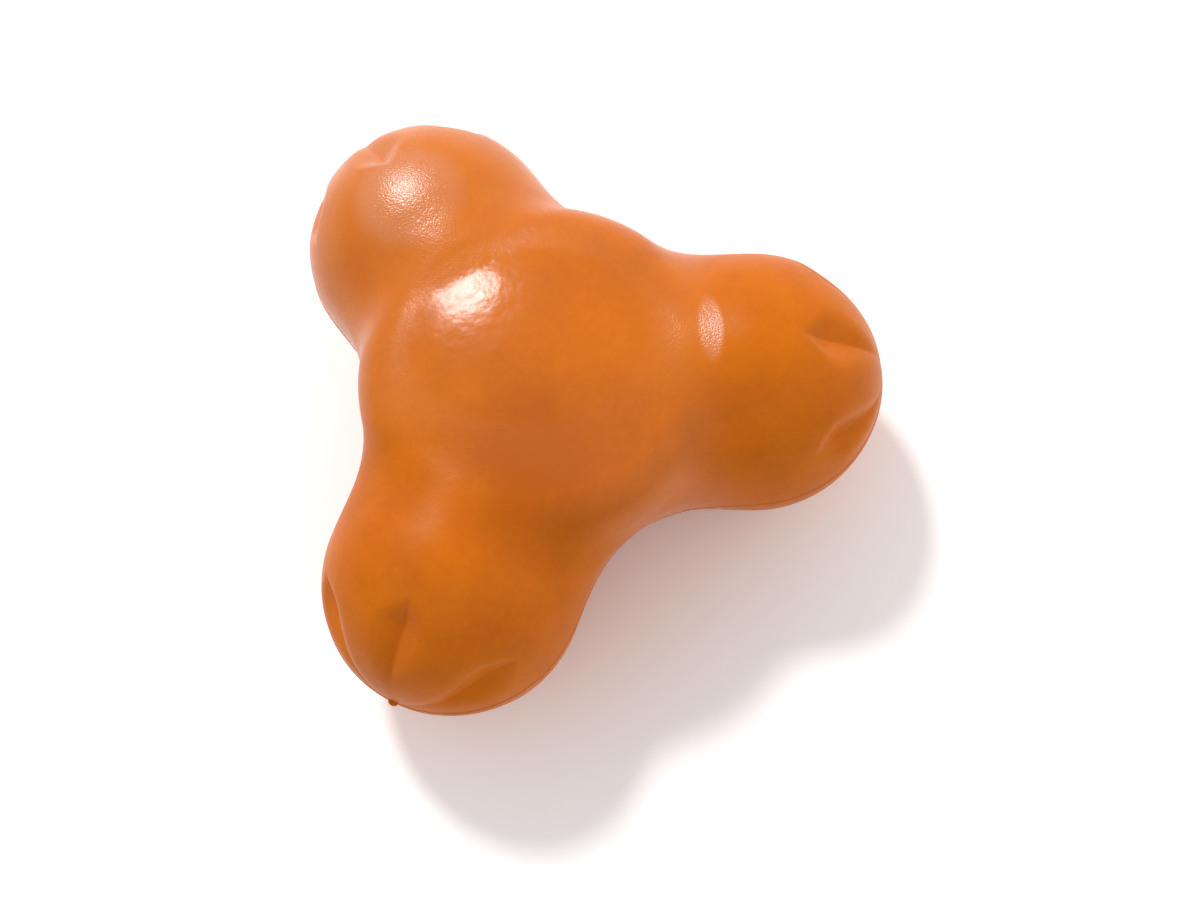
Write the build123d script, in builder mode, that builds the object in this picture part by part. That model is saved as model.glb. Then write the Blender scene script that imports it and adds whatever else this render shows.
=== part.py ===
"""A three-lobed hollow rubber chew toy, in millimetres.

The toy is one soft rubber moulding: a low-domed hub with a treat pocket inside it, and three round
lobes that run into the hub through waisted necks. The whole form is made first, as the mould
makes it, and is then sectioned at the necks, where the rubber bends.

Frame: +Z is up through the dome, on the toy's three-fold axis. The origin is on that axis, at the
throat of the treat mouth in the underside. +X points along the right lobe.
"""

import os
from math import acos, atan2, cos, hypot, pi, radians, sin, sqrt, tan

from build123d import *

# Lobes
overall_width = 127.0  # across the tips of two lobes
lobe_radius = 26.4
lobe_names = ("right", "rear", "front")
foot_flat_depth = 0.4  # patch on which a lobe rests, pressed flat by the toy's weight

# Hub and necks
hub_radius = 36.5  # at the hub's widest circle
hub_rise = 14.6  # widest circle above the plane of the lobe centres
shoulder_share = 0.79  # rounding of a dome's shoulder as a share of the dome's height
neck_blend_share = 0.62  # how much of the bare hub between two lobes their blends cover
neck_length = 7.0  # stretch of a neck that bends, along the neck

# Leaf-shaped flutes round the tip of each lobe
flute_count = 6
flute_latitude = 43.0  # degrees from the lobe's tip to the middle of a flute
flute_half_span = 21.0  # degrees from the middle of a flute to its pointed end
flute_wall_slope = 18.0  # degrees between a flute's wall and the lobe's skin

# Treat pocket and its mouth
neck_wall = 3.4  # least rubber between the pocket and a neck's bending stretch
crown_wall = 9.5  # over the pocket's ceiling
pocket_rise = 3.5  # pocket's ceiling above the hub's widest circle
mouth_share = 0.64  # mouth's width as a share of the pocket's
mouth_length = 6.5  # straight throat
mouth_inner_round = 3.0
mouth_flare_radius = 6.0
mouth_flare_angle = 55.0  # degrees that the rounded lip turns before it meets the underside

cut_overrun = 2.0  # how far a cutter runs past the skin

# A neck runs from the hub's centre to a lobe's centre. Its hollow blend is the path of a ball that
# touches both; crease_angle is where hub and lobe would meet without it, seen from the hub's centre
lobe_count = len(lobe_names)
lobe_reach = (overall_width - 2 * lobe_radius) / (2 * sin(pi / lobe_count))
neck_droop = atan2(hub_rise, lobe_reach)
neck_span = hypot(hub_rise, lobe_reach)
neck_spread = acos(cos(neck_droop) ** 2 * cos(2 * pi / lobe_count) + sin(neck_droop) ** 2)
crease_angle = acos((hub_radius**2 + neck_span**2 - lobe_radius**2) / (2 * hub_radius * neck_span))
blend_angle = crease_angle + neck_blend_share * (neck_spread / 2 - crease_angle)
blend_run = neck_span * cos(blend_angle)
neck_blend_radius = (neck_span**2 + hub_radius**2 - lobe_radius**2 - 2 * hub_radius * blend_run) / (
    2 * (blend_run + lobe_radius - hub_radius)
)
neck_waist = (hub_radius + neck_blend_radius) * cos(blend_angle) * cos(neck_droop)
neck_start = neck_waist - neck_length / 2
neck_end = neck_waist + neck_length / 2

# Pocket, and heights above the throat of its mouth
pocket_radius = neck_start - neck_wall
mouth_radius = mouth_share * pocket_radius
inner_round_radius = mouth_radius + mouth_inner_round
inner_round_drop = sqrt((pocket_radius + mouth_inner_round) ** 2 - inner_round_radius**2)
hub_height = mouth_length + inner_round_drop
crown_height = pocket_rise + crown_wall
lobe_height = hub_height - hub_rise
foot_height = lobe_height - lobe_radius + foot_flat_depth


def lobe_angle(index):
    """Direction of a lobe round the toy's axis, in degrees."""
    return 360 / lobe_count * index


def neck_plane(index, distance):
    """Upright plane across a neck, at a distance from the toy's axis."""
    angle = radians(lobe_angle(index))
    along = Vector(cos(angle), sin(angle), 0)
    return Plane(origin=along * distance, z_dir=along)


def dome_profile(radius, height, end):
    """Half outline of a flattened dome on a round bowl, from its top down to an end on the bowl."""
    shoulder = shoulder_share * height
    inset = radius - shoulder
    crown = (height**2 + inset**2 - shoulder**2) / (2 * (height - shoulder))
    turn = atan2(inset, crown - height)
    shoulder_start = (crown * sin(turn), hub_height + height - crown * (1 - cos(turn)))
    RadiusArc((0, hub_height + height), shoulder_start, crown)
    RadiusArc(shoulder_start, (radius, hub_height), shoulder)
    RadiusArc((radius, hub_height), end, radius)


def flute_plane(index, flute):
    """Plane across the middle of a flute: its valley is at the origin, and Y points out of the lobe."""
    angle = radians(lobe_angle(index))
    turn = 2 * pi / flute_count * flute
    latitude = radians(flute_latitude)
    tip = Vector(cos(angle), sin(angle), 0)
    side = Vector(sin(angle), -cos(angle), 0)
    spoke = Vector(0, 0, 1) * cos(turn) + side * sin(turn)
    outward = tip * cos(latitude) + spoke * sin(latitude)
    valley = spoke * cos(latitude) - tip * sin(latitude)
    centre = tip * lobe_reach + Vector(0, 0, lobe_height)
    middle = centre + outward * (lobe_radius * cos(radians(flute_half_span)))
    return Plane(origin=middle, x_dir=outward.cross(valley), z_dir=valley)


# Upright plane through the gap between two lobes, in which the hub is drawn
gap_angle = radians(lobe_angle(1) / 2)
hub_section = Plane(
    origin=(0, 0, 0), x_dir=(cos(gap_angle), sin(gap_angle), 0), z_dir=(sin(gap_angle), -cos(gap_angle), 0)
)

# The whole moulded form, still solid
hub_top = hub_height + crown_height
hub_bottom = hub_height - hub_radius

with BuildPart() as moulding:
    with BuildSketch(hub_section):
        with BuildLine():
            dome_profile(hub_radius, crown_height, (0, hub_bottom))
            Line((0, hub_bottom), (0, hub_top))
        make_face()
    revolve(axis=Axis.Z)
    with Locations((0, 0, lobe_height)):
        with PolarLocations(lobe_reach, lobe_count):
            Sphere(lobe_radius)
    creases = moulding.edges(Select.NEW)
    fillet(creases, neck_blend_radius)

    flute_half_length = lobe_radius * sin(radians(flute_half_span))
    flute_wall_rise = flute_half_length * tan(radians(flute_wall_slope))
    for lobe in range(lobe_count):
        for flute in range(flute_count):
            with BuildSketch(flute_plane(lobe, flute)):
                with BuildLine():
                    Polyline(
                        (0, 0),
                        (flute_half_length, flute_wall_rise),
                        (-flute_half_length, flute_wall_rise),
                        close=True,
                    )
                make_face()
            extrude(amount=flute_half_length + cut_overrun, both=True, mode=Mode.SUBTRACT)

    split(bisect_by=Plane.XY.offset(foot_height), keep=Keep.TOP)

# Hub with its treat pocket, open at the mouth in the underside
pocket_top = hub_height + pocket_rise
inner_round_share = pocket_radius / (pocket_radius + mouth_inner_round)
pocket_edge_radius = inner_round_radius * inner_round_share
pocket_edge_height = hub_height - inner_round_drop * inner_round_share
flare_turn = radians(mouth_flare_angle)
flare_end_radius = mouth_radius + mouth_flare_radius * (1 - cos(flare_turn))
flare_end_height = -mouth_flare_radius * sin(flare_turn)
cutter_foot = foot_height - cut_overrun
cutter_foot_radius = flare_end_radius + (flare_end_height - cutter_foot) * tan(flare_turn)

with BuildPart() as hub:
    add(moulding.part)
    for lobe in range(lobe_count):
        split(bisect_by=neck_plane(lobe, neck_start), keep=Keep.BOTTOM)
    with BuildSketch(hub_section):
        with BuildLine():
            Line((0, cutter_foot), (0, pocket_top))
            dome_profile(pocket_radius, pocket_rise, (pocket_edge_radius, pocket_edge_height))
            RadiusArc(
                (pocket_edge_radius, pocket_edge_height), (mouth_radius, mouth_length), -mouth_inner_round
            )
            Line((mouth_radius, mouth_length), (mouth_radius, 0))
            RadiusArc((mouth_radius, 0), (flare_end_radius, flare_end_height), -mouth_flare_radius)
            Line((flare_end_radius, flare_end_height), (cutter_foot_radius, cutter_foot))
            Line((cutter_foot_radius, cutter_foot), (0, cutter_foot))
        make_face()
    revolve(axis=Axis.Z, mode=Mode.SUBTRACT)

parts = {"hollow_hub": hub.part}

# Bending neck and fluted lobe, three of each
for lobe, name in enumerate(lobe_names):
    with BuildPart() as neck:
        add(moulding.part)
        split(bisect_by=neck_plane(lobe, neck_start), keep=Keep.TOP)
        split(bisect_by=neck_plane(lobe, neck_end), keep=Keep.BOTTOM)
    parts[f"{name}_neck"] = neck.part

    with BuildPart() as fluted_lobe:
        add(moulding.part)
        split(bisect_by=neck_plane(lobe, neck_end), keep=Keep.TOP)
    parts[f"{name}_lobe"] = fluted_lobe.part

os.makedirs("parts", exist_ok=True)
for name, part in parts.items():
    part.label = name
    export_step(part, f"parts/{name}.step")
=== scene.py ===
"""Looks of the three-lobed rubber chew toy: one continuous moulded skin over the sectioned solids.

The skin is worked out from a signed form (below zero inside the rubber), meshed on a fine grid and
drawn onto the form. It is then parted into a hub and three lobes, each lobe's piece taking in its
neck. Lengths are metres, in the solids' frame.
"""

from math import acos, atan2, cos, hypot, pi, radians, sin, sqrt, tan

import bmesh
import bpy
import numpy as np
from mathutils import Matrix, Vector


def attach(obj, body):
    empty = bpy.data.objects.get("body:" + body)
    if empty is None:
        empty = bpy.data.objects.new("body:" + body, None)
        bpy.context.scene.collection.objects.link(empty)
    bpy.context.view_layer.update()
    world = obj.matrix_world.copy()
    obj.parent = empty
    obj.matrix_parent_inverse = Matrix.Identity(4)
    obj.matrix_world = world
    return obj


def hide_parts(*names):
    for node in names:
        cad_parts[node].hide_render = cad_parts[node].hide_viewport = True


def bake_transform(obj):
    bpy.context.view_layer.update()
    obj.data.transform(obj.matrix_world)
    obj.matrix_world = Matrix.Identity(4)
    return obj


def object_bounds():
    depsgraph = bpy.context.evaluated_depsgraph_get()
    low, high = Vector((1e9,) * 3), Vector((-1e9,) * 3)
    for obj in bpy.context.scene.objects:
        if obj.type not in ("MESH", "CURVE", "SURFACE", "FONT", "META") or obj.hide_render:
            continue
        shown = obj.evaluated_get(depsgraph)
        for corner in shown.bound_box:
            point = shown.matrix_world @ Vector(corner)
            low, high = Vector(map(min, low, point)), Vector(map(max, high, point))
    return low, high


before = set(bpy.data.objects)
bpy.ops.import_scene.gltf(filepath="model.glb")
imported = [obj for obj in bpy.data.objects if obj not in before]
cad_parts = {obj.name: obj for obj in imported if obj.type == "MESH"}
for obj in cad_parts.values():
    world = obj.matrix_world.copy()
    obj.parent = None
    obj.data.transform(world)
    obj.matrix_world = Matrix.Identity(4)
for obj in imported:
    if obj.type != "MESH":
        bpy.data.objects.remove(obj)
cad_low, cad_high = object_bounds()

MM = 0.001

# Moulded form: the solids' own sizes
overall_width = 127.0 * MM
lobe_radius = 26.4 * MM
lobe_names = ("right", "rear", "front")
foot_flat_depth = 0.4 * MM
hub_radius = 36.5 * MM
hub_rise = 14.6 * MM
shoulder_share = 0.79
neck_blend_share = 0.62
neck_length = 7.0 * MM
neck_wall = 3.4 * MM
crown_wall = 9.5 * MM
pocket_rise = 3.5 * MM
mouth_share = 0.64
mouth_length = 6.5 * MM
mouth_inner_round = 3.0 * MM
mouth_flare_radius = 6.0 * MM
mouth_flare_angle = radians(55.0)

# Flutes: leaf-shaped, with a blunt head towards the hub and a long point towards the lobe's tip
flute_count = 6
flute_end = radians(12.0)  # angles from the lobe's tip to a flute's point, widest place and head
flute_widest = radians(51.0)
flute_head = radians(66.0)
flute_depth = 2.5 * MM
flute_wall_slope = radians(26.0)
flute_edge_round = 0.8 * MM
flute_valley_round = 0.25 * MM

# The mouth's rounded lip, and the hollows of the necks, which vary in width with height
mouth_edge_round = 1.6 * MM
side_blend_width = 16.0 * MM  # how near to both hub and lobe the hollow of a neck begins at its sides
top_blend_width = 8.0 * MM  # the same on its top, where the two meet at a flat angle
side_blend_rise = 8.0 * MM  # heights above the lobe centres between which one passes into the other
top_blend_rise = 23.0 * MM
bend_overrun = 3.0 * MM  # how far the skin's bend reaches past a neck's bending stretch

# Flash where the mould's halves met: a fine bead round the toy, and a nub at the tip of one lobe
bead_half_width = 0.3 * MM
bead_height = 0.14 * MM
bead_step = 0.4 * MM
bead_section_shares = ((-1.0, -2.0), (-0.9, 0.0), (-0.4, 0.85), (0.4, 0.85), (0.9, 0.0), (1.0, -2.0))
nub_lobe = "front"
nub_half_sizes = (0.9 * MM, 1.1 * MM, 0.6 * MM)

# Mesh
cell = 0.5 * MM
relax_rounds = 4
draw_rounds = 2
probe = 0.05 * MM  # step over which the form's gradient is taken
weld_share = 0.05  # how near to a cut a vertex is taken to lie on it, as a share of a cell

# Places worked out from the sizes
lobe_count = len(lobe_names)
lobe_reach = (overall_width - 2 * lobe_radius) / (2 * sin(pi / lobe_count))
neck_droop = atan2(hub_rise, lobe_reach)
neck_span = hypot(hub_rise, lobe_reach)
neck_spread = acos(cos(neck_droop) ** 2 * cos(2 * pi / lobe_count) + sin(neck_droop) ** 2)
crease_angle = acos((hub_radius**2 + neck_span**2 - lobe_radius**2) / (2 * hub_radius * neck_span))
blend_angle = crease_angle + neck_blend_share * (neck_spread / 2 - crease_angle)
blend_run = neck_span * cos(blend_angle)
neck_blend_radius = (neck_span**2 + hub_radius**2 - lobe_radius**2 - 2 * hub_radius * blend_run) / (
    2 * (blend_run + lobe_radius - hub_radius)
)
neck_waist = (hub_radius + neck_blend_radius) * cos(blend_angle) * cos(neck_droop)
bend_start = neck_waist - neck_length / 2 - bend_overrun

pocket_radius = neck_waist - neck_length / 2 - neck_wall
mouth_radius = mouth_share * pocket_radius
inner_round_radius = mouth_radius + mouth_inner_round
hub_height = mouth_length + sqrt((pocket_radius + mouth_inner_round) ** 2 - inner_round_radius**2)
lobe_height = hub_height - hub_rise
foot_height = lobe_height - lobe_radius + foot_flat_depth


def lobe_angle(index):
    """Direction of a lobe round the toy's axis."""
    return 2 * pi / lobe_count * index


def lobe_axes(index):
    """A lobe's outward, sideways and upward directions."""
    angle = lobe_angle(index)
    outward = np.array([cos(angle), sin(angle), 0])
    sideways = np.array([-sin(angle), cos(angle), 0])
    return outward, sideways, np.array([0, 0, 1.0])


def lobe_centre(index):
    return lobe_axes(index)[0] * lobe_reach + np.array([0, 0, lobe_height])


def soft_max(a, b, width):
    """The larger of two fields, rounded over where they come within a width of each other."""
    mix = np.maximum(width - np.abs(a - b), 0) / width
    return np.maximum(a, b) + mix * mix * width / 4


def between(x, y, first, last):
    """Where a point of a half-plane lies in the angle from one direction round to another."""
    return (first[0] * y - first[1] * x >= 0) & (x * last[1] - y * last[0] >= 0)


def dome(r, z, radius, height):
    """A flattened dome on a round bowl: a wide crown, a rounded shoulder and the bowl below."""
    z = z - hub_height
    shoulder = shoulder_share * height
    inset = radius - shoulder
    crown = (height**2 + inset**2 - shoulder**2) / (2 * (height - shoulder))
    turn = atan2(inset, crown - height)
    on_crown = (r - inset) * cos(turn) < z * sin(turn)
    upper = np.where(on_crown, np.hypot(r, z + crown - height) - crown, np.hypot(r - inset, z) - shoulder)
    return np.where(z < 0, np.hypot(r, z) - radius, upper)


def smooth_step(values, low, high):
    """Nought below a range and one above it, with a smooth passage between."""
    share = np.clip((values - low) / (high - low), 0, 1)
    return share * share * (3 - 2 * share)


def hub_and_lobes(points):
    """The hub and the lobes' balls, joined by hollow necks."""
    field = dome(np.hypot(points[:, 0], points[:, 1]), points[:, 2], hub_radius, pocket_rise + crown_wall)
    on_top = smooth_step(points[:, 2] - lobe_height, side_blend_rise, top_blend_rise)
    width = side_blend_width + (top_blend_width - side_blend_width) * on_top
    for index in range(lobe_count):
        ball = np.linalg.norm(points - lobe_centre(index), axis=1) - lobe_radius
        field = -soft_max(-field, -ball, width)
    return field


def cut_flutes(field, points, index):
    """The leaf-shaped flutes round a lobe's tip."""
    tip, side, up = lobe_axes(index)
    near = np.flatnonzero((points - lobe_centre(index)) @ tip > 0)
    arm = points[near] - lobe_centre(index)
    reach = np.linalg.norm(arm, axis=1)
    from_tip = np.arctan2(np.hypot(arm @ side, arm @ up), arm @ tip)
    to_point = (from_tip - flute_end) / (flute_widest - flute_end)
    to_head = (flute_head - from_tip) / (flute_head - flute_widest)
    fade = np.where(to_point > 0, smooth_step(to_point, 0, 1), to_point)
    depth = flute_depth * np.minimum(fade, np.sin(pi / 2 * np.clip(to_head, -1, 1)))
    rise = reach - lobe_radius + depth
    for flute in range(flute_count // 2):  # each pass cuts two flutes, on opposite sides of the tip
        turn = 2 * pi / flute_count * flute
        across = arm @ (side * cos(turn) - up * sin(turn))
        walls = rise * cos(flute_wall_slope) - np.hypot(across, flute_valley_round) * sin(flute_wall_slope)
        field[near] = soft_max(field[near], walls, flute_edge_round)
    return field


def pocket(points):
    """The treat pocket and its mouth, below zero in the hollow."""
    r, z = np.hypot(points[:, 0], points[:, 1]), points[:, 2]
    hollow = dome(r, z, pocket_radius, pocket_rise)
    drop = np.clip(-z, 0, mouth_flare_radius * sin(mouth_flare_angle))
    flare = mouth_radius + mouth_flare_radius - np.sqrt(mouth_flare_radius**2 - drop * drop)
    flare = flare + np.maximum(-z - drop, 0) * tan(mouth_flare_angle) * (z < 0)
    throat = np.maximum(r - flare, z - hub_height)
    from_r, from_z = r - inner_round_radius, z - mouth_length
    to_hub = (-inner_round_radius, hub_height - mouth_length)
    in_round = between(from_r, from_z, to_hub, (-1.0, 0.0))
    return np.where(in_round, mouth_inner_round - np.hypot(from_r, from_z), np.minimum(hollow, throat))


def rubber(points):
    """The whole form: below zero inside the rubber."""
    field = hub_and_lobes(points)
    for index in range(lobe_count):
        field = cut_flutes(field, points, index)
    field = np.maximum(field, foot_height - points[:, 2])
    return soft_max(field, -pocket(points), mouth_edge_round)


def slope(points):
    """The form's gradient."""
    steps = np.eye(3) * probe
    return np.stack([rubber(points + s) - rubber(points - s) for s in steps], 1) / (2 * probe)


def surface_net(low, high):
    """Vertices and faces that wrap the form: one vertex in each grid cell that its skin crosses."""
    lines = [np.arange(a - 2 * cell, b + 3 * cell, cell) for a, b in zip(low, high)]
    inside = np.empty([len(line) for line in lines], bool)
    sheet = np.stack(np.meshgrid(lines[1], lines[2], indexing="ij"), -1).reshape(-1, 2)
    for number, x in enumerate(lines[0]):
        points = np.column_stack([np.full(len(sheet), x), sheet])
        inside[number] = (rubber(points) < 0).reshape(inside.shape[1:])

    cells_x, cells_y, cells_z = [n - 1 for n in inside.shape]
    corners = np.zeros((cells_x, cells_y, cells_z), np.int8)
    for i in (0, 1):
        for j in (0, 1):
            for k in (0, 1):
                corners += inside[i : i + cells_x, j : j + cells_y, k : k + cells_z]
    crossed = (corners > 0) & (corners < 8)
    number_of = np.full(corners.shape, -1)
    number_of[crossed] = np.arange(crossed.sum())
    places = np.array([line[0] for line in lines]) + (np.argwhere(crossed) + 0.5) * cell

    faces = []
    for axis in range(3):
        second, third = (axis + 1) % 3, (axis + 2) % 3
        ahead = np.moveaxis(inside, axis, 0)
        edges = np.argwhere(ahead[:-1] != ahead[1:])
        order = [axis] + [other for other in range(3) if other != axis]
        nodes = np.empty_like(edges)
        nodes[:, order] = edges
        leaving = inside[tuple(nodes.T)]
        ring = []
        for back_second, back_third in ((1, 1), (0, 1), (0, 0), (1, 0)):
            near = nodes.copy()
            near[:, second] -= back_second
            near[:, third] -= back_third
            ring.append(number_of[tuple(near.T)])
        ring = np.stack(ring, 1)
        faces.append(np.where(leaving[:, None], ring, ring[:, ::-1]))
    return places, np.concatenate(faces)


def step_to_skin(points, gradient):
    """Moves points by one step along a gradient, to where the form's skin should be."""
    return points - gradient * (rubber(points) / (gradient * gradient).sum(1))[:, None]


def draw_on(points):
    """Moves points onto the form's skin."""
    for _ in range(draw_rounds):
        points = step_to_skin(points, slope(points))
    return points


def relaxed(points, faces):
    """Evens out the faces, with the points kept on the skin."""
    starts = faces.ravel()
    ends = np.roll(faces, -1, axis=1).ravel()
    count = np.bincount(starts, minlength=len(points))
    for _ in range(relax_rounds):
        sums = [np.bincount(starts, points[ends, axis], len(points)) for axis in range(3)]
        points = draw_on((points + np.stack(sums, 1) / count[:, None]) / 2)
    return points


def piece_mesh(name, whole, cuts):
    """The part of the whole skin on the kept side of each cut plane, closed by flat caps."""
    body = bmesh.new()
    body.from_mesh(whole)
    for place, direction in cuts:
        bmesh.ops.bisect_plane(
            body,
            geom=body.verts[:] + body.edges[:] + body.faces[:],
            dist=cell * weld_share,
            plane_co=place,
            plane_no=direction,
            clear_outer=True,
        )
    skin_faces = len(body.faces)
    bmesh.ops.holes_fill(body, edges=[edge for edge in body.edges if edge.is_boundary])
    bmesh.ops.recalc_face_normals(body, faces=body.faces[:])
    mesh = bpy.data.meshes.new(name)
    body.to_mesh(mesh)
    body.free()

    mesh.shade_smooth()
    places = np.empty(len(mesh.vertices) * 3)
    mesh.vertices.foreach_get("co", places)
    normals = slope(places.reshape(-1, 3))
    normals /= np.linalg.norm(normals, axis=1)[:, None]
    corner_vertex = np.empty(len(mesh.loops), int)
    mesh.loops.foreach_get("vertex_index", corner_vertex)
    corner_normals = normals[corner_vertex]
    for cap in list(mesh.polygons)[skin_faces:]:
        corner_normals[list(cap.loop_indices)] = cap.normal
    mesh.normals_split_custom_set(corner_normals.tolist())
    return mesh


def parting_line():
    """The outline in the plane of the lobe centres, from the right lobe's tip to the middle of a gap."""
    point = np.array([[lobe_reach + lobe_radius, 0, lobe_height]])
    line = []
    while atan2(point[0, 1], point[0, 0]) < pi / lobe_count:
        gradient = slope(point) * (1, 1, 0)
        point = step_to_skin(point, gradient)
        line.append(point[0])
        outward = gradient[0] / np.linalg.norm(gradient)
        point = point + bead_step * np.array([-outward[1], outward[0], 0])
    return np.array(line)


def turned(points, angle):
    """Points turned about the toy's axis."""
    return points @ np.array([[cos(angle), sin(angle), 0], [-sin(angle), cos(angle), 0], [0, 0, 1]])


def bead_mesh(name, line):
    """A fine bead along a line on the skin, with its edges and ends below the skin."""
    outward = slope(line) * (1, 1, 0)
    outward /= np.linalg.norm(outward, axis=1)[:, None]
    rows = []
    for across, rise in bead_section_shares:
        rows.append(line + outward * (rise * bead_height) + np.array([0, 0, across * bead_half_width]))
    count = len(rows)
    places = np.stack(rows, 1).reshape(-1, 3)
    faces = []
    for number in range(len(line) - 1):
        for corner in range(count):
            low, high = number * count + corner, number * count + (corner + 1) % count
            faces.append((low, low + count, high + count, high))
    faces.append(tuple(range(count)))
    faces.append(tuple(reversed(range(len(places) - count, len(places)))))
    mesh = bpy.data.meshes.new(name)
    mesh.from_pydata(places.tolist(), [], faces)
    mesh.shade_smooth()
    return mesh


def nub_mesh(name, place, turn):
    """A small round nub, half sunk in the skin."""
    body = bmesh.new()
    bmesh.ops.create_icosphere(body, subdivisions=3, radius=1.0)
    sizes = Matrix.Diagonal((*nub_half_sizes, 1.0))
    body.transform(Matrix.Translation(place) @ Matrix.Rotation(turn, 4, "Z") @ sizes)
    mesh = bpy.data.meshes.new(name)
    body.to_mesh(mesh)
    body.free()
    mesh.shade_smooth()
    return mesh


def place_piece(name, mesh, material):
    piece = bpy.data.objects.new(name, mesh)
    bpy.context.collection.objects.link(piece)
    mesh.materials.append(material)
    return piece


class Graph:
    """Short calls for making and joining the nodes of one material or world."""

    def __init__(self, tree):
        self.tree = tree

    def add(self, kind, inputs=(), **settings):
        node = self.tree.nodes.new("ShaderNode" + kind)
        for name, value in settings.items():
            setattr(node, name, value)
        for socket, value in dict(inputs).items():
            self.put(value, node.inputs[socket])
        return node

    def put(self, value, socket):
        if isinstance(value, bpy.types.NodeSocket):
            self.tree.links.new(value, socket)
        else:
            socket.default_value = value

    def spread(self, value, low, high, start=0.0, end=1.0):
        """Takes values between low and high, smoothly, to values between start and end."""
        sockets = {"Value": value, "From Min": low, "From Max": high, "To Min": start, "To Max": end}
        return self.add("MapRange", sockets, interpolation_type="SMOOTHSTEP").outputs["Result"]

    def noise(self, place, size, detail):
        """Noise whose lumps are about as wide as a size."""
        sockets = {"Vector": place, "Scale": 1 / size, "Detail": detail}
        return self.add("TexNoise", sockets).outputs["Fac"]

    def ramp(self, value, stops):
        node = self.add("ValToRGB", {"Fac": value})
        while len(node.color_ramp.elements) < len(stops):
            node.color_ramp.elements.new(1.0)
        for element, (position, colour) in zip(node.color_ramp.elements, stops):
            element.position = position
            element.color = colour
        return node.outputs["Color"]

    def math(self, operation, first, second):
        return self.add("Math", {0: first, 1: second}, operation=operation).outputs["Value"]

    def along(self, place, direction):
        """How far a place lies along a direction."""
        return self.add("VectorMath", {0: place, 1: direction}, operation="DOT_PRODUCT").outputs["Value"]

    def from_centre(self, place, centre, half_sizes, turn=0.0):
        """How far a place lies from the centre of a stretched ball: 1 on the ball's skin."""
        sockets = {"Vector": place, "Location": centre, "Rotation": (0, 0, turn), "Scale": half_sizes}
        local = self.add("Mapping", sockets, vector_type="TEXTURE").outputs["Vector"]
        return self.add("VectorMath", {0: local}, operation="LENGTH").outputs["Value"]

    def mix(self, factor, first, second):
        return self.add("Mix", {"Factor": factor, 6: first, 7: second}, data_type="RGBA").outputs[2]

    def seen(self):
        """One where a ray comes from the camera, a reflection or a clear body, and nought for other light."""
        path = self.add("LightPath").outputs
        shown = self.math("MAXIMUM", path["Is Camera Ray"], path["Is Glossy Ray"])
        return self.math("MAXIMUM", shown, path["Is Transmission Ray"])


def grey(level):
    return level, level, level, 1


def new_material(name):
    material = bpy.data.materials.new(name)
    material.use_nodes = True
    return material, material.node_tree.nodes["Principled BSDF"], Graph(material.node_tree)


# Semi-gloss moulded rubber. Its colour follows a tone: cloudy and flecked, lighter on the rear lobe by
# painted light, and darker on the front of the dome by painted shade
cloud_size = 14.0 * MM
cloud_detail = 4.0
fleck_size = 1.4 * MM
fleck_detail = 2.0
fleck_tone = 0.05
# painted light: the rear lobe is lightened where it faces the lamp
painted_light_start, painted_light_end = 15.0 * MM, 45.0 * MM  # along the rear lobe
painted_light_tone = 0.16
# painted shade: the front of the dome is darkened where its slope faces away from the lamp
painted_shade_centre = (-1.0 * MM, -21.0 * MM, 37.5 * MM)
painted_shade_half_sizes = (37.0 * MM, 27.0 * MM, 24.0 * MM)
painted_shade_tone = 0.5
noise_low, noise_high = 0.3, 0.7  # range in which nearly all of a noise lies
rubber_colours = (
    (0.0, (0.54, 0.118, 0.006, 1)),
    (0.35, (0.635, 0.146, 0.0065, 1)),
    (0.5, (0.675, 0.159, 0.0065, 1)),
    (0.65, (0.705, 0.171, 0.007, 1)),
    (0.9, (0.76, 0.193, 0.008, 1)),
)

# Its gloss: a smoother plate on the dome, duller right and front lobes, and two polished spots,
# on top of the rear lobe and in the right neck
plate_centre = (-1.0 * MM, 5.0 * MM, hub_height + pocket_rise + crown_wall)
plate_half_sizes = (27.0 * MM, 21.0 * MM, 12.0 * MM)
plate_turn = radians(-5.0)
plate_edge = 0.8  # where the plate's finish is full, as a share of its half sizes
dull_right_start, dull_right_end = 26.0 * MM, 43.0 * MM
dull_front_start, dull_front_end = 14.0 * MM, 32.0 * MM
polish_spots = (
    ((-23.4 * MM, 38.7 * MM, 37.6 * MM), (14.0 * MM, 14.0 * MM, 10.0 * MM)),
    ((35.2 * MM, 2.8 * MM, 37.0 * MM), (2.9 * MM, 8.5 * MM, 8.0 * MM)),
)
polish_edge = 0.6
skin_gloss, dull_gloss, polish_gloss, plate_gloss_loss = 0.28, 0.08, 0.75, 0.1
rough_in_clouds, smooth_in_clouds = 0.31, 0.25
dull_roughness, plate_smoothness = 0.08, 0.13

# Its fine eroded grain, on shallow ripples
grain_size = 0.4 * MM
grain_depth = 0.1 * MM
grain_detail = 1.5
skin_grain, plate_grain, polish_grain = 0.35, 0.04, 0.65
ripple_size = 4.0 * MM
ripple_depth = 0.08 * MM
ripple_detail = 2.0

right_way, rear_way, front_way = [tuple(lobe_axes(index)[0]) for index in range(lobe_count)]
rubber_look, shader, graph = new_material("orange_rubber")
place = graph.add("TexCoord").outputs["Object"]
clouds = graph.noise(place, cloud_size, cloud_detail)
flecks = graph.noise(place, fleck_size, fleck_detail)
# painted shade, darkening the tone on the front of the dome
painted_shade = graph.spread(graph.from_centre(place, painted_shade_centre, painted_shade_half_sizes), 1.0, 0.0, 0.0, painted_shade_tone)
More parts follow.
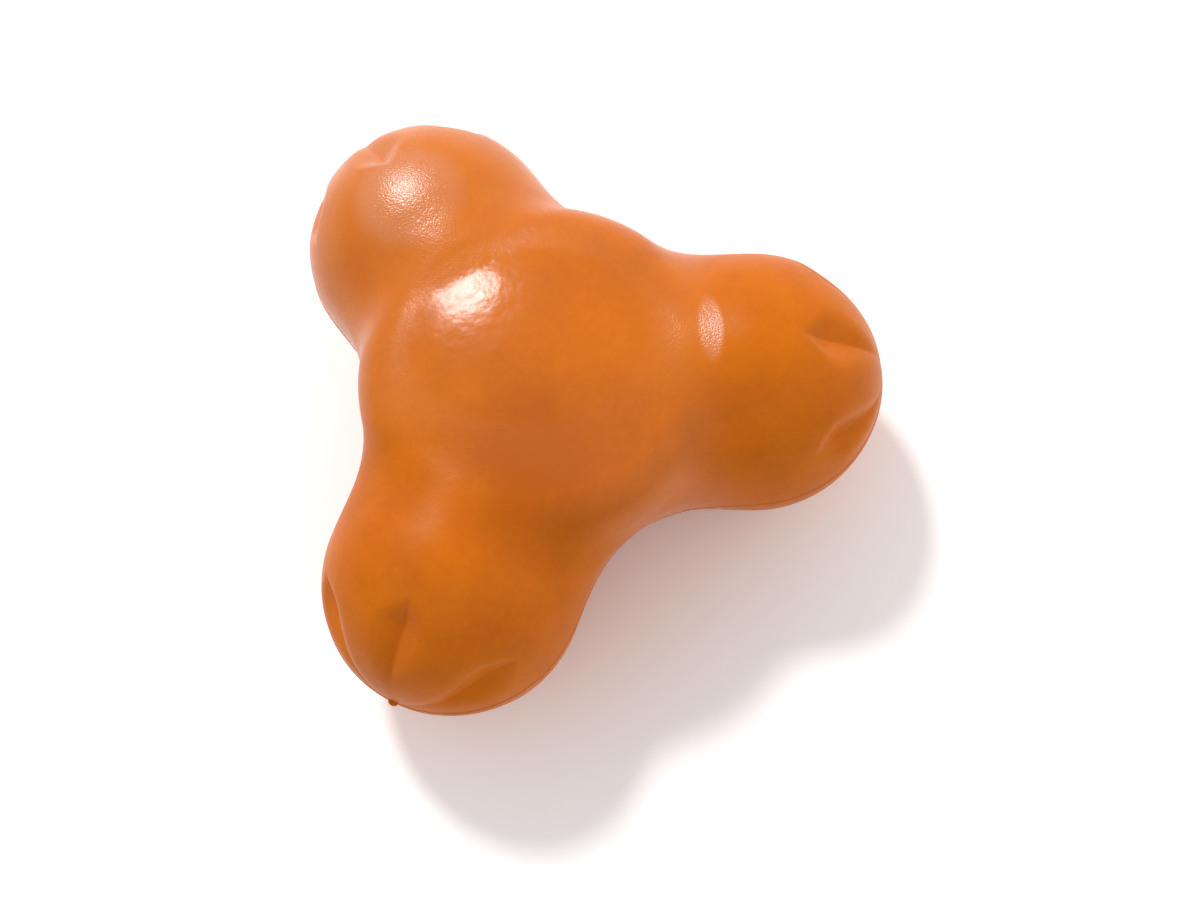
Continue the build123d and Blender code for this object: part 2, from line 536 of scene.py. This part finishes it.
# painted light, lifting the tone along the rear lobe
painted_light = graph.spread(graph.along(place, rear_way), painted_light_start, painted_light_end, 0.0, painted_light_tone)
speckle = graph.spread(flecks, noise_low, noise_high, -fleck_tone, fleck_tone)
tone = graph.math("ADD", graph.math("ADD", clouds, speckle), graph.math("SUBTRACT", painted_light, painted_shade))
graph.put(graph.ramp(tone, rubber_colours), shader.inputs["Base Color"])

plate = graph.spread(graph.from_centre(place, plate_centre, plate_half_sizes, plate_turn), 1.0, plate_edge)
dull_right = graph.spread(graph.along(place, right_way), dull_right_start, dull_right_end)
dull_front = graph.spread(graph.along(place, front_way), dull_front_start, dull_front_end)
dull = graph.math("MAXIMUM", dull_right, dull_front)
rear_spot, neck_spot = [
    graph.spread(graph.from_centre(place, centre, half_sizes), 1.0, polish_edge)
    for centre, half_sizes in polish_spots
]
polish = graph.math("MAXIMUM", rear_spot, neck_spot)

gloss = graph.spread(dull, 0.0, 1.0, skin_gloss, dull_gloss)
gloss = graph.math("ADD", gloss, graph.math("MULTIPLY", polish, polish_gloss))
gloss = graph.math("SUBTRACT", gloss, graph.math("MULTIPLY", plate, plate_gloss_loss))
graph.put(gloss, shader.inputs["Specular IOR Level"])

roughness = graph.spread(clouds, noise_low, noise_high, rough_in_clouds, smooth_in_clouds)
roughness = graph.math("ADD", roughness, graph.math("MULTIPLY", dull, dull_roughness))
roughness = graph.math("SUBTRACT", roughness, graph.math("MULTIPLY", plate, plate_smoothness))
graph.put(roughness, shader.inputs["Roughness"])

ripple = graph.noise(place, ripple_size, ripple_detail)
ripples = graph.add("Bump", {"Height": ripple, "Distance": ripple_depth, "Strength": 1.0}).outputs["Normal"]
grain = graph.noise(place, grain_size, grain_detail)
grain_strength = graph.spread(plate, 0.0, 1.0, skin_grain, plate_grain)
grain_strength = graph.math("ADD", grain_strength, graph.math("MULTIPLY", polish, polish_grain))
grains = graph.add(
    "Bump",
    {"Height": grain, "Distance": grain_depth, "Strength": grain_strength, "Normal": ripples},
).outputs["Normal"]
graph.put(grains, shader.inputs["Normal"])

# Skin
points, faces = surface_net(cad_low, cad_high)
points = relaxed(draw_on(points), faces)
whole_skin = bpy.data.meshes.new("whole_skin")
whole_skin.from_pydata(points.tolist(), [], faces.tolist())

seams = [(lobe_axes(index)[0] * bend_start, lobe_axes(index)[0]) for index in range(lobe_count)]
hub_skin = place_piece("hub_skin", piece_mesh("hub_skin", whole_skin, seams), rubber_look)
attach(hub_skin, "hub")
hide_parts("hollow_hub")

for index, name in enumerate(lobe_names):
    seam, outward = seams[index]
    mesh = piece_mesh(f"{name}_lobe_skin", whole_skin, [(seam, -outward)])
    lobe_skin = place_piece(f"{name}_lobe_skin", mesh, rubber_look)
    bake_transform(lobe_skin)
    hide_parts(f"{name}_lobe", f"{name}_neck")
bpy.data.meshes.remove(whole_skin)

# Flash
half_line = parting_line()
lobe_half = half_line[half_line[:, 0] >= bend_start]
hub_half = half_line[len(lobe_half) - 1 :]
mirror = np.array([1, -1, 1])
lobe_line = np.concatenate([(lobe_half * mirror)[:0:-1], lobe_half])
hub_line = np.concatenate([hub_half, turned(hub_half * mirror, lobe_angle(1))[::-1]])
for index, name in enumerate(lobe_names):
    angle = lobe_angle(index)
    seam, outward = seams[index]
    mesh = bead_mesh(f"{name}_gap_bead", turned(hub_line, angle))
    hub_bead = place_piece(f"{name}_gap_bead", mesh, rubber_look)
    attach(hub_bead, "hub")
    flash = {f"{name}_lobe_bead": bead_mesh(f"{name}_lobe_bead", turned(lobe_line, angle))}
    if name == nub_lobe:
        tip = turned(half_line[:1], angle)[0]
        flash[f"{name}_lobe_nub"] = nub_mesh(f"{name}_lobe_nub", Vector(tip), angle)
    for piece_name, mesh in flash.items():
        piece = place_piece(piece_name, mesh, rubber_look)
        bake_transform(piece)

# Camera: where the photograph was taken from
camera_azimuth = radians(11.7)
camera_elevation = radians(69.03)
camera_roll = radians(-16.6)
camera_distance = 455.3 * MM
photo_width, photo_height = 1200, 900
focal_pixels = 2200
aim_pixel = (546.2, 402.65)
sensor_width = 36.0
clip_near, clip_far = 0.01, 100.0

back = Vector(
    (
        sin(camera_azimuth) * cos(camera_elevation),
        -cos(camera_azimuth) * cos(camera_elevation),
        sin(camera_elevation),
    )
)
level_right = Vector((cos(camera_azimuth), sin(camera_azimuth), 0))
level_up = back.cross(level_right)
right = level_right * cos(camera_roll) + level_up * sin(camera_roll)
up = level_up * cos(camera_roll) - level_right * sin(camera_roll)
off_right = (photo_width / 2 - aim_pixel[0]) / focal_pixels
off_down = (photo_height / 2 - aim_pixel[1]) / focal_pixels
backward = (back - right * off_right + up * off_down).normalized()
camera_right = (right - backward * right.dot(backward)).normalized()
camera_up = backward.cross(camera_right)

lens = bpy.data.cameras.new("camera")
lens.sensor_width = sensor_width
lens.lens = focal_pixels / photo_width * sensor_width
lens.clip_start = clip_near
lens.clip_end = clip_far
camera = bpy.data.objects.new("camera", lens)
camera_place = Vector((0, 0, lobe_height)) + back * camera_distance
camera_turn = Matrix((camera_right, camera_up, backward)).transposed().to_4x4()
camera.matrix_world = Matrix.Translation(camera_place) @ camera_turn
bpy.context.collection.objects.link(camera)
bpy.context.scene.camera = camera

# Floor
floor_half = 6.0
sheet_white = 0.9
sheet_white_seen = 1.28  # takes the lit sheet up to white, as the photograph shows it
sheet_roughness = 0.9
sheet_gloss = 0.1
floor_mesh = bpy.data.meshes.new("floor")
floor_mesh.from_pydata(
    [
        (-floor_half, -floor_half, foot_height),
        (floor_half, -floor_half, foot_height),
        (floor_half, floor_half, foot_height),
        (-floor_half, floor_half, foot_height),
    ],
    [],
    [(0, 1, 2, 3)],
)
floor = bpy.data.objects.new("floor", floor_mesh)
bpy.context.collection.objects.link(floor)
floor_look, shader, graph = new_material("white_sheet")
shader.inputs["Roughness"].default_value = sheet_roughness
shader.inputs["Specular IOR Level"].default_value = sheet_gloss
sheet_colour = graph.spread(graph.seen(), 0.0, 1.0, sheet_white, sheet_white_seen)
graph.put(sheet_colour, shader.inputs["Base Color"])
floor_mesh.materials.append(floor_look)

# Light: one soft lamp from behind on the left, and a pale room
key_azimuth = radians(113.5)
key_elevation = radians(50.0)
key_energy = 1.5
key_spread = radians(9.5)
window_azimuth = radians(48.0)
window_edge = 0.8  # how far to either side the window's light passes into the room's
window_levels = ((0.0, 0.5), (0.15, 1.0), (0.3, 1.35), (0.5, 1.2), (0.85, 0.25))  # height and level
room_levels = ((0.0, 0.04), (0.38, 0.1), (0.58, 0.95), (0.8, 1.0), (0.96, 0.25))
backdrop_white = 1.0

key = bpy.data.lights.new("key", "SUN")
key.energy = key_energy
key.angle = key_spread
key_lamp = bpy.data.objects.new("key", key)
toward_key = Vector(
    (
        cos(key_azimuth) * cos(key_elevation),
        sin(key_azimuth) * cos(key_elevation),
        sin(key_elevation),
    )
)
key_lamp.rotation_mode = "QUATERNION"
key_lamp.rotation_quaternion = toward_key.to_track_quat("Z", "Y")
key_lamp.location = toward_key
bpy.context.collection.objects.link(key_lamp)

world = bpy.data.worlds.new("room")
world.use_nodes = True
graph = Graph(world.node_tree)
way = graph.add("TexCoord").outputs["Generated"]
height = graph.along(way, (0, 0, 1))
window_side = graph.along(way, (cos(window_azimuth), sin(window_azimuth), 0))
window_sky = graph.ramp(height, [(at, grey(level)) for at, level in window_levels])
room_sky = graph.ramp(height, [(at, grey(level)) for at, level in room_levels])
sky = graph.mix(graph.spread(window_side, -window_edge, window_edge), room_sky, window_sky)
shown = graph.mix(graph.seen(), sky, grey(backdrop_white))
backdrop = world.node_tree.nodes["Background"]
graph.put(shown, backdrop.inputs["Color"])
bpy.context.scene.world = world
bpy.context.scene.view_settings.view_transform = "Standard"
